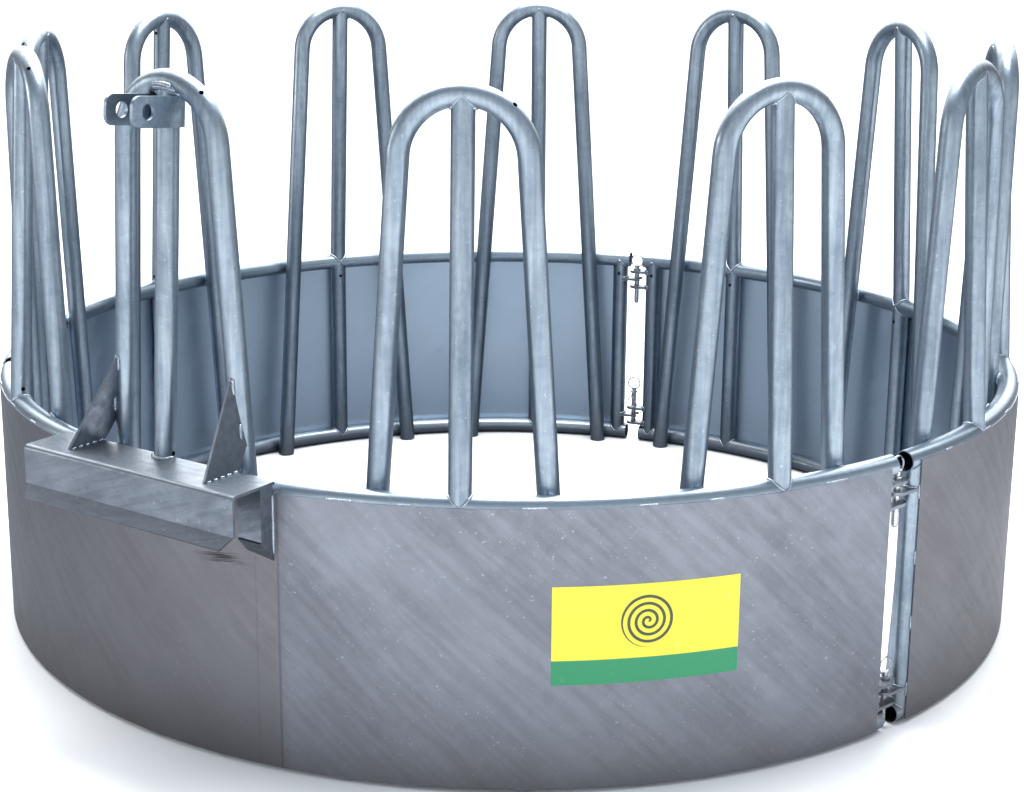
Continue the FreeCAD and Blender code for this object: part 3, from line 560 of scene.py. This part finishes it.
def swept(path, facing, size):
    """Grid of points round a path: path + size (facing cos a + side sin a) for a from 0 to
    2 pi, where facing is made square to the path and side is square to both."""
    tangent = np.gradient(path, axis=0)
    tangent /= np.linalg.norm(tangent, axis=1, keepdims=True)
    facing = np.broadcast_to(facing, path.shape)
    facing = facing - tangent * np.sum(facing * tangent, axis=1, keepdims=True)
    facing = facing / np.linalg.norm(facing, axis=1, keepdims=True)
    side = np.cross(tangent, facing)
    turn = np.linspace(0, 2 * np.pi, BEAD_SIDES, endpoint=False)
    spoke = (facing[:, None] * np.cos(turn)[None, :, None]
             + side[:, None] * np.sin(turn)[None, :, None])
    return path[:, None] + size[:, None, None] * spoke


def bead(path, facing, radius, seed=0.0):
    """A swept tube whose size at length s is radius (1 + 0.16 sin(2 pi s / RIPPLE + seed)
    + 0.12 sin(s / 0.011 + 2 seed)) sqrt(1 - (2s/L - 1)^8), where L is the whole length."""
    steps = np.linalg.norm(np.diff(path, axis=0), axis=1)
    length = np.concatenate([[0.0], np.cumsum(steps)])
    swell = 1 + 0.16 * np.sin(2 * np.pi * length / RIPPLE + seed)
    swell += 0.12 * np.sin(length / 0.011 + 2 * seed)
    taper = np.sqrt(np.clip(1 - (2 * length / length[-1] - 1) ** 8, 0, 1))
    return swept(path, facing, radius * swell * np.maximum(taper, SMALLEST))


def bead_faces(rows, start):
    """Quads of one bead's grid, then a cap on each end."""
    i, j = np.meshgrid(np.arange(rows - 1), np.arange(BEAD_SIDES), indexing="ij")
    k = (j + 1) % BEAD_SIDES
    quads = np.stack([i * BEAD_SIDES + j, i * BEAD_SIDES + k,
                      (i + 1) * BEAD_SIDES + k, (i + 1) * BEAD_SIDES + j], -1).reshape(-1, 4)
    ring = np.arange(BEAD_SIDES)
    return ((quads + start).tolist() + [(ring[::-1] + start).tolist()]
            + [(ring + start + (rows - 1) * BEAD_SIDES).tolist()])


def finished_piece(name, points, faces, body, material):
    """A mesh piece at the origin, on its body, with its finish."""
    mesh = bpy.data.meshes.new(name)
    mesh.from_pydata(points.tolist(), [], faces)
    mesh.polygons.foreach_set("use_smooth", np.ones(len(mesh.polygons), bool))
    mesh.materials.append(material)
    mesh.update()
    piece = bpy.data.objects.new(name, mesh)
    bpy.context.scene.collection.objects.link(piece)
    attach(piece, body)
    return piece


def bead_piece(name, beads, body):
    """One piece from a list of (path, facing, radius) beads."""
    points, faces, start = [], [], 0
    for count, (path, facing, radius) in enumerate(beads):
        grid = bead(path, facing, radius, 1.7 * count)
        faces += bead_faces(len(grid), start)
        points.append(grid.reshape(-1, 3))
        start += grid.shape[0] * BEAD_SIDES
    piece = finished_piece(name, np.concatenate(points), faces, body,
                           weld_zinc["material"])
    print(name, len(beads), "beads", start, "points")
    return piece


# %% [markdown]
# The joints repeat round the ring, so each kind of weld is written once, in the frame of
# its azimuth. A coped tube meets a tube of its own size along a saddle: at the angle t round
# the upright, the joint lies TUBE |sin t| from the other tube's centre line.

# %% Weld paths
SHORT = 1.2e-3


def spaced(start, end, step=SHORT):
    """Evenly spaced numbers from start to end, about step apart."""
    return np.linspace(start, end, max(6, int(abs(end - start) / step) + 1))


def edge_stitch(azimuth, length, height, reach=SKIRT_RADIUS - 0.0028):
    """A short bead along the skirt's edge: a level arc at one height."""
    turn = azimuth + np.degrees(spaced(-length / 2, length / 2) / reach)
    return ring_point(turn, reach, height), ring_axes(azimuth)[1]


def saddle(azimuth, offset, height, up, start, end, lean=0.0, sag=0.0, reach=RAIL_RADIUS):
    """The joint of an upright tube with a level one. At the angle t the point lies
    r sin t along the ring, r cos t outwards and up r |sin t| from the centre, where r is
    the tube's radius; lean tips it inwards, and sag follows a bent crown."""
    along, out, above = ring_axes(azimuth)
    t = np.radians(spaced(start, end, 4.0))
    r = TUBE
    rise = up * r * np.abs(np.sin(t)) - sag * np.sin(t) ** 2
    shift = (offset + r * np.sin(t))
    depth = r * np.cos(t) - rise * np.tan(lean)
    centre = ring_point(azimuth, reach, height)
    path = centre + shift[:, None] * along + depth[:, None] * out + rise[:, None] * above
    facing = (np.sin(t)[:, None] * along + np.cos(t)[:, None] * out + up * 0.8 * above)
    return path, facing


# %% [markdown]
# The hoops' legs splay outwards as they go down, and each hoop leans in towards its crown.
# A leg touches both ring tubes from the inside, so its distance from the axis at each tube
# follows from how far it stands to the side: reach^2 + offset^2 = (circle of the legs)^2.

# %% Leg and post geometry
LEG_SPLAY = np.radians(3.76)
BEND_RADIUS = 0.1016
LEG_CIRCLE = RAIL_RADIUS - 2 * TUBE
BEND_HEIGHT = CROWN - BEND_RADIUS
LEG_SPREAD = BEND_RADIUS / np.cos(LEG_SPLAY) + BEND_HEIGHT * np.tan(LEG_SPLAY)
SEAM_OFFSET = 0.044


def leg_offset(height):
    """How far a hoop's leg stands from the middle of its hoop: spread - height tan(splay)."""
    return LEG_SPREAD - height * np.tan(LEG_SPLAY)


HOOP_LOW = np.sqrt(LEG_CIRCLE ** 2 - leg_offset(BOTTOM_RAIL) ** 2)
HOOP_HIGH = np.sqrt(LEG_CIRCLE ** 2 - leg_offset(TOP_RAIL) ** 2)
HOOP_SLOPE = (HOOP_HIGH - HOOP_LOW) / (TOP_RAIL - BOTTOM_RAIL)
CROWN_REACH = HOOP_LOW + HOOP_SLOPE * (CROWN - BOTTOM_RAIL)
POST_SLOPE = (RAIL_RADIUS - CROWN_REACH) / (CROWN - TOP_RAIL)
print("crown stands at", round(float(CROWN_REACH), 4), "from the axis")


def leg_ring(azimuth, side, height, radius=0.0105):
    """A closed ring of weld where a leg touches a ring tube: at the angle t its point is
    radius cos t along and radius sin t up, midway between the two round surfaces."""
    offset = side * leg_offset(height)
    turn = azimuth + np.degrees(np.arctan2(offset, HOOP_LOW + HOOP_SLOPE * (height - BOTTOM_RAIL)))
    along, out, above = ring_axes(turn)
    t = np.radians(spaced(0.0, 352.0, 8.0))
    u, v = radius * np.cos(t), radius * np.sin(t)
    bulge = (TUBE - np.sqrt(TUBE ** 2 - v ** 2)) - (TUBE - np.sqrt(TUBE ** 2 - u ** 2))
    centre = ring_point(turn, LEG_CIRCLE + TUBE, height)
    path = centre + u[:, None] * along + v[:, None] * above + (bulge / 2)[:, None] * out
    return path, np.cos(t)[:, None] * along + np.sin(t)[:, None] * above


# %% [markdown]
# Panel by panel: stitches hold the sheet to the ring tubes, saddles hold every upright, and
# small rings of weld hold the hoop legs, which only touch the ring tubes on the inside. No
# two stitches are the same length, so sines of their number stretch and shift them.

# %% Welds of one panel
STITCH_STEP, STITCH_LENGTH = 9.4, 0.036
EDGE_BEAD, LEG_BEAD, POST_BEAD, RIB_BEAD, END_BEAD = 0.0021, 0.0038, 0.0026, 0.0022, 0.0018
END_STITCHES = (0.065, 0.19, 0.31, 0.43)
SHEET_END = 0.0395
CROWN_SAG = 0.0018
CROWN_LUMPS = ((2, 358, 0.0016), (58, 112, 0.0034), (248, 302, 0.0034))


def edge_beads(first, last):
    """Stitches along the sheet's upper and lower edges between two azimuths."""
    beads = []
    for count, azimuth in enumerate(np.arange(first + 6.0, last - 4.0, STITCH_STEP)):
        for height in (SHEET_TOP + 0.0006, SHEET_BOTTOM - 0.0006):
            drift = 1.9 * np.sin(2.3 * count + 40 * height)
            length = STITCH_LENGTH + 0.013 * np.sin(3.7 * count + 11 * height + first)
            beads.append((*edge_stitch(azimuth + drift, length, height), EDGE_BEAD))
    return beads


def hoop_beads(azimuths):
    """Rings at the hoops' legs and saddles at the centre posts and rib posts."""
    beads = []
    for azimuth in azimuths:
        for side in (-1, 1):
            for height in (BOTTOM_RAIL, TOP_RAIL):
                beads.append((*leg_ring(azimuth, side, height), LEG_BEAD))
        lean = np.arctan(POST_SLOPE)
        beads.append((*saddle(azimuth, 0.0, TOP_RAIL, 1, 2, 358, lean), POST_BEAD))
        for start, end, size in CROWN_LUMPS:
            beads.append((*saddle(azimuth, 0.0, CROWN, -1, start, end, lean, CROWN_SAG,
                                  CROWN_REACH), size))
        for height, up in ((TOP_RAIL, -1), (BOTTOM_RAIL, 1)):
            beads.append((*saddle(azimuth, 0.0, height, up, 70, 290), RIB_BEAD))
    return beads


def end_beads(first, last):
    """Saddles at both end posts and stitches down both ends of the sheet."""
    beads = []
    for seam, side in ((first, 1), (last, -1)):
        turn = seam + side * np.degrees(np.arcsin(SEAM_OFFSET / RAIL_RADIUS))
        for height, up in ((TOP_RAIL, -1), (BOTTOM_RAIL, 1)):
            arc = (-25, -290) if side > 0 else (25, 290)
            beads.append((*saddle(turn, 0.0, height, up, *arc), RIB_BEAD))
        edge = seam + side * np.degrees(SHEET_END / SKIRT_RADIUS)
        for height in END_STITCHES:
            z = spaced(height - 0.014, height + 0.014)
            beads.append((ring_point(edge, SKIRT_RADIUS - 0.0024, z), ring_axes(edge)[1],
                          END_BEAD))
    return beads


for panel, seams in SEAMS.items():
    beads = edge_beads(*seams) + hoop_beads(HOOPS[panel]) + end_beads(*seams)
    bead_piece(f"{panel}_weld_beads", beads, f"panel_{panel}")

# %% [markdown]
# **Lug welds.** Each hinge lug is a plate whose end hugs the end post. A fillet runs round
# the post above and below the plate.

# %% Lug beads
LUG_LEVELS = {"clevis": (0, 2), "tongue": (1,)}
LUG_PITCH, LUG_PLATE, LUG_BEAD = 0.020, 0.006, 0.0026
UPPER_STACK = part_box("a_clevis_lugs")[1].z
STACK_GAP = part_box("right_upper_pin")[1].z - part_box("right_lower_pin")[1].z


def lug_fillet(seam, side, height):
    """An arc round the end post, on the side that faces the seam."""
    turn = seam + side * np.degrees(np.arcsin(SEAM_OFFSET / RAIL_RADIUS))
    along, out, above = ring_axes(turn)
    t = np.radians(spaced(-62.0, 62.0, 5.0))
    centre = ring_point(turn, RAIL_RADIUS, height)
    reach = TUBE + 0.0008
    path = (centre - side * reach * np.cos(t)[:, None] * along
            + reach * np.sin(t)[:, None] * out)
    return path, -side * np.cos(t)[:, None] * along + np.sin(t)[:, None] * out


for panel, (first, last) in SEAMS.items():
    beads = []
    for stack in (UPPER_STACK, UPPER_STACK - STACK_GAP):
        for kind, seam, side in (("tongue", first, 1), ("clevis", last, -1)):
            for level in LUG_LEVELS[kind]:
                top = stack - level * LUG_PITCH
                for height in (top + 0.001, top - LUG_PLATE - 0.001):
                    beads.append((*lug_fillet(seam, side, height), LUG_BEAD))
    bead_piece(f"{panel}_lug_beads", beads, f"panel_{panel}")
print("lug stacks", round(STACK_GAP, 3), "apart")

# %% [markdown]
# **Hitch welds.** The carrier's folded rail, its gussets and the top link bracket take the
# whole weight of the feeder, so they are welded most heavily. Each gusset has dots of weld
# along its foot and two longer beads up the leg that it leans on.

# %% Gusset and guide beads
GUSSET_FOOT, GUSSET_PLATE, GUSSET_TILT = 0.154, 0.005, np.radians(10.0)
FOOT_DOTS, DOT_HALF, DOT_BEAD = (0.010, 0.072), 0.005, 0.0024
LEG_LEVELS, LEVEL_HALF, GUSSET_BEAD = (0.060, 0.134), 0.014, 0.003
GUIDE_TURN = 0.224
rail_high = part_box("hook_rail")[1]
gusset_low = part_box("gusset_right")[0]
guide_low, guide_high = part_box("rail_guide_right")
hitch = []


def straight(start, end):
    """Points along a straight joint."""
    start, end = np.asarray(start, float), np.asarray(end, float)
    share = spaced(0.0, 1.0, SHORT / np.linalg.norm(end - start))
    return start + share[:, None] * (end - start)


def level_bead(x, y, z, half, facing, size):
    """A bead of half length `half` that runs along y."""
    hitch.append((straight((x, y - half, z), (x, y + half, z)), facing, size))


def upright_bead(x, y, bottom, top, facing, size):
    """A bead that runs straight up."""
    hitch.append((straight((x, y, bottom), (x, y, top)), facing, size))


for side in (-1, 1):
    foot = side * GUSSET_FOOT
    for face in (-1, 1):
        for y in gusset_low.y + np.linspace(*FOOT_DOTS, 5):
            level_bead(foot + face * GUSSET_PLATE / 2, y, rail_high.z, DOT_HALF,
                       (face, 0, 1), DOT_BEAD)
    for z in LEG_LEVELS:
        lean = foot - side * z * np.tan(GUSSET_TILT)
        y = RING_Y - (HOOP_LOW + HOOP_SLOPE * (TOP_RAIL + z) + TUBE)
        for face in (-1, 1):
            upright_bead(lean + face * GUSSET_PLATE / 2, y, rail_high.z + z - LEVEL_HALF,
                         rail_high.z + z + LEVEL_HALF, (face, -1, 0), GUSSET_BEAD)
    upright_bead(side * guide_high.x, RING_Y - SKIRT_RADIUS * np.cos(GUIDE_TURN),
                 guide_low.z + 0.012, TOP_RAIL, (side, -1, 0), 0.0026)
print(len(hitch), "beads at the gussets and guides")

# %% [markdown]
# The hitch hoop's centre post stands in the rail's notch with a half ring of weld in front.
# The bracket is held to the crown by a few thick lumps, one above the other, and the rail's
# rear edge is stitched to the ring tube.

# %% Post, crown and rail beads
CROWN_BEADS = ((-12.0, 0.0046), (-28.0, 0.0050), (-44.0, 0.0038))
RAIL_STITCHES, RAIL_DROP = np.linspace(-0.2, 0.2, 6), 0.004

t = np.radians(spaced(-88.0, 88.0, 4.0))
post_reach = RAIL_RADIUS - POST_SLOPE * (rail_high.z - TOP_RAIL)
half_ring = np.stack([(TUBE + 0.0008) * np.sin(t),
                      RING_Y - post_reach - (TUBE + 0.0008) * np.cos(t),
                      np.full(len(t), rail_high.z + 0.0008)], -1)
hitch.append((half_ring, np.stack([np.sin(t), -np.cos(t), np.ones(len(t))], -1), 0.0036))
for turn, size in CROWN_BEADS:
    x = spaced(-0.017, 0.021 - 0.0004 * turn, 0.0016)
    out = TUBE * np.cos(np.radians(turn)) + 0.001
    up = TUBE * np.sin(np.radians(turn)) - x ** 2 / (2 * BEND_RADIUS)
    path = np.stack([x, np.full(len(x), RING_Y - CROWN_REACH - out), CROWN + up], -1)
    hitch.append((path, (0, -1, 0.4), size))
for x in RAIL_STITCHES:
    y, z = rail_high.y, rail_high.z - RAIL_DROP
    hitch.append((straight((x - 0.02, y, z), (x + 0.02, y, z)), (0, 1, 0.3), 0.0028))
bead_piece("hitch_weld_beads", hitch, "panel_a")

# %% [markdown]
# **Wire clip.** At the lower back joint a bent wire clip hangs beside the pin on a short
# wire link, ready to be pushed through under the lugs. The clip is a wire along a rounded
# triangle, and both wires are swept like the beads but without ripples.

# %% Wire clip
CLIP_WIRE, LINK_WIRE = 0.0014, 0.0009
CLIP_SIZE, CLIP_TOP, CLIP_GAP, CLIP_DROP = 0.0125, 0.0148, 0.026, 0.036
PIN_SIDE, LINK_DROP = 0.0052, 0.006
pin_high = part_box("back_lower_pin")[1]
BACK_SEAM = SEAMS["b"][1]
clip_along, clip_out, clip_up = ring_axes(BACK_SEAM)


def triangle_loop(centre, size, turns=1.04):
    """A rounded triangle: centre + r (sin t along + cos t up), with r = size (1 + 0.2
    cos 3t), carried a little past one turn so that the wire's ends lie side by side."""
    t = np.linspace(0, 2 * np.pi * turns, 60)
    r = size * (1 + 0.2 * np.cos(3 * t))
    drift = (t / t[-1] - 0.5) * 2.4 * CLIP_WIRE
    return (centre + (r * np.sin(t))[:, None] * clip_along + (r * np.cos(t))[:, None] * clip_up
            + drift[:, None] * clip_out)


def hanging_link(start, end):
    """A wire that leaves its start level and drops at its end: at the share u of its way
    out it has fallen by u^5 of the whole drop, so it clears the edge of the lug below."""
    u = np.linspace(0, 1, 32)[:, None]
    across = (end - start) * np.array([1.0, 1.0, 0.0])
    return start + u * across + u ** 5 * (end - start)[2] * clip_up


clip_middle = ring_point(BACK_SEAM, RAIL_RADIUS - CLIP_GAP, pin_high.z - CLIP_DROP)
clip_path = triangle_loop(clip_middle, CLIP_SIZE)
link_start = ring_point(BACK_SEAM, RAIL_RADIUS - PIN_SIDE, pin_high.z - LINK_DROP)
link_path = hanging_link(link_start, clip_middle + CLIP_TOP * clip_up)
wires = [swept(clip_path, clip_out, np.full(len(clip_path), CLIP_WIRE)),
         swept(link_path, clip_along, np.full(len(link_path), LINK_WIRE))]
wire_faces = bead_faces(len(wires[0]), 0) + bead_faces(len(wires[1]), wires[0].size // 3)
finished_piece("back_lower_wire_clip", np.concatenate([w.reshape(-1, 3) for w in wires]),
               wire_faces, "back_lower_pin", hardware_zinc["material"])
print("wire clip at", tuple(clip_middle.round(3)))

# %% [markdown]
# **Label.** A printed sheet is stuck on the skirt between two hoops: a yellow field over a
# green band, with a plain drawing of a wound bale. It is one curved grid, a quarter of
# a millimetre off the steel, and its own UV map carries the drawing.

# %% Label surface
LABEL_START, LABEL_END = 38.2, 55.6
LABEL_BOTTOM, LABEL_TOP = 0.190, 0.358
LABEL_LIFT = 0.00025


def label_grid(columns=60, rows=12):
    """Point(u, v) = the ring's point at azimuth start + u (end - start), at the skirt's
    radius plus the label's lift, and at height bottom + v (top - bottom)."""
    u, v = np.meshgrid(np.linspace(0, 1, columns), np.linspace(0, 1, rows), indexing="ij")
    points = ring_point(LABEL_START + u * (LABEL_END - LABEL_START), SKIRT_RADIUS + LABEL_LIFT,
                        LABEL_BOTTOM + v * (LABEL_TOP - LABEL_BOTTOM))
    i, j = np.meshgrid(np.arange(columns - 1), np.arange(rows - 1), indexing="ij")
    corner = i * rows + j
    faces = np.stack([corner, corner + rows, corner + rows + 1, corner + 1], -1).reshape(-1, 4)
    return points.reshape(-1, 3), faces, np.stack([u, v], -1).reshape(-1, 2)


print("label", round(LABEL_TOP - LABEL_BOTTOM, 3), "high")

# %% [markdown]
# The label's print is worked out from its UV map. A spiral is drawn where the distance from
# the middle, counted in turns, runs ahead of the angle by a whole number. The green band is
# the lowest quarter, and a little rubbed white noise breaks up the ink.

# %% Label finish
TURNS, LINE_SHARE, BALE_RADIUS, BALE_HEIGHT, BAND_HEIGHT = 14.0, 0.42, 0.27, 0.62, 0.25
YELLOW, GREEN = (0.85, 0.74, 0.03, 1.0), (0.0, 0.26, 0.10, 1.0)
INK, RUBBED = (0.03, 0.05, 0.02, 1.0), (0.8, 0.8, 0.78, 1.0)

label_finish = bpy.data.materials.new("printed_label")
label_finish.use_nodes = True
tree = label_finish.node_tree
label_shader = tree.nodes["Principled BSDF"]
label_shader.inputs["Roughness"].default_value = 0.32
label_shader.inputs["Coat Weight"].default_value = 0.3
sheet_uv = add(tree, "SeparateXYZ", Vector=add(tree, "TexCoord").outputs["UV"])
wide = (LABEL_END - LABEL_START) * np.pi / 180 * SKIRT_RADIUS / (LABEL_TOP - LABEL_BOTTOM)
across = math(tree, "MULTIPLY", math(tree, "SUBTRACT", sheet_uv.outputs["X"], 0.5), wide)
up = math(tree, "SUBTRACT", sheet_uv.outputs["Y"], BALE_HEIGHT)
span = math(tree, "SQRT", math(tree, "ADD", math(tree, "MULTIPLY", across, across),
                               math(tree, "MULTIPLY", up, up)))
winding = math(tree, "DIVIDE", math(tree, "ARCTAN2", up, across), 2 * np.pi)
spiral = math(tree, "FRACT", math(tree, "SUBTRACT", math(tree, "MULTIPLY", span, TURNS), winding))
line = math(tree, "MULTIPLY", math(tree, "LESS_THAN", spiral, LINE_SHARE),
            math(tree, "LESS_THAN", span, BALE_RADIUS))
paper = blend_colour(tree, line, YELLOW, INK)
paper = blend_colour(tree, math(tree, "LESS_THAN", sheet_uv.outputs["Y"], BAND_HEIGHT), paper,
                     GREEN)
rubbed = add(tree, "TexNoise", Vector=add(tree, "TexCoord").outputs["Object"], Scale=60.0,
             Detail=6.0)
paper = blend_colour(tree, smooth_range(tree, rubbed.outputs["Fac"], 0.62, 0.8, 0.0, 0.12),
                     paper, RUBBED)
tree.links.new(paper, label_shader.inputs["Base Color"])
print("label finish")

# %% [markdown]
# The grid, its finish and its UV map come together in one piece that rides on panel a. A UV
# map holds a value for each corner of each face, so the grid's values are looked up by the
# number of the vertex at that corner.

# %% Label piece
points, faces, uv = label_grid()
label = finished_piece("printed_label", points, faces.tolist(), "panel_a",
                       label_finish)
label_map = label.data.uv_layers.new(name="label_map")
corners = np.zeros(len(label.data.loops), int)
label.data.loops.foreach_get("vertex_index", corners)
label_map.data.foreach_set("uv", uv[corners].ravel())
print("label", len(points), "points")
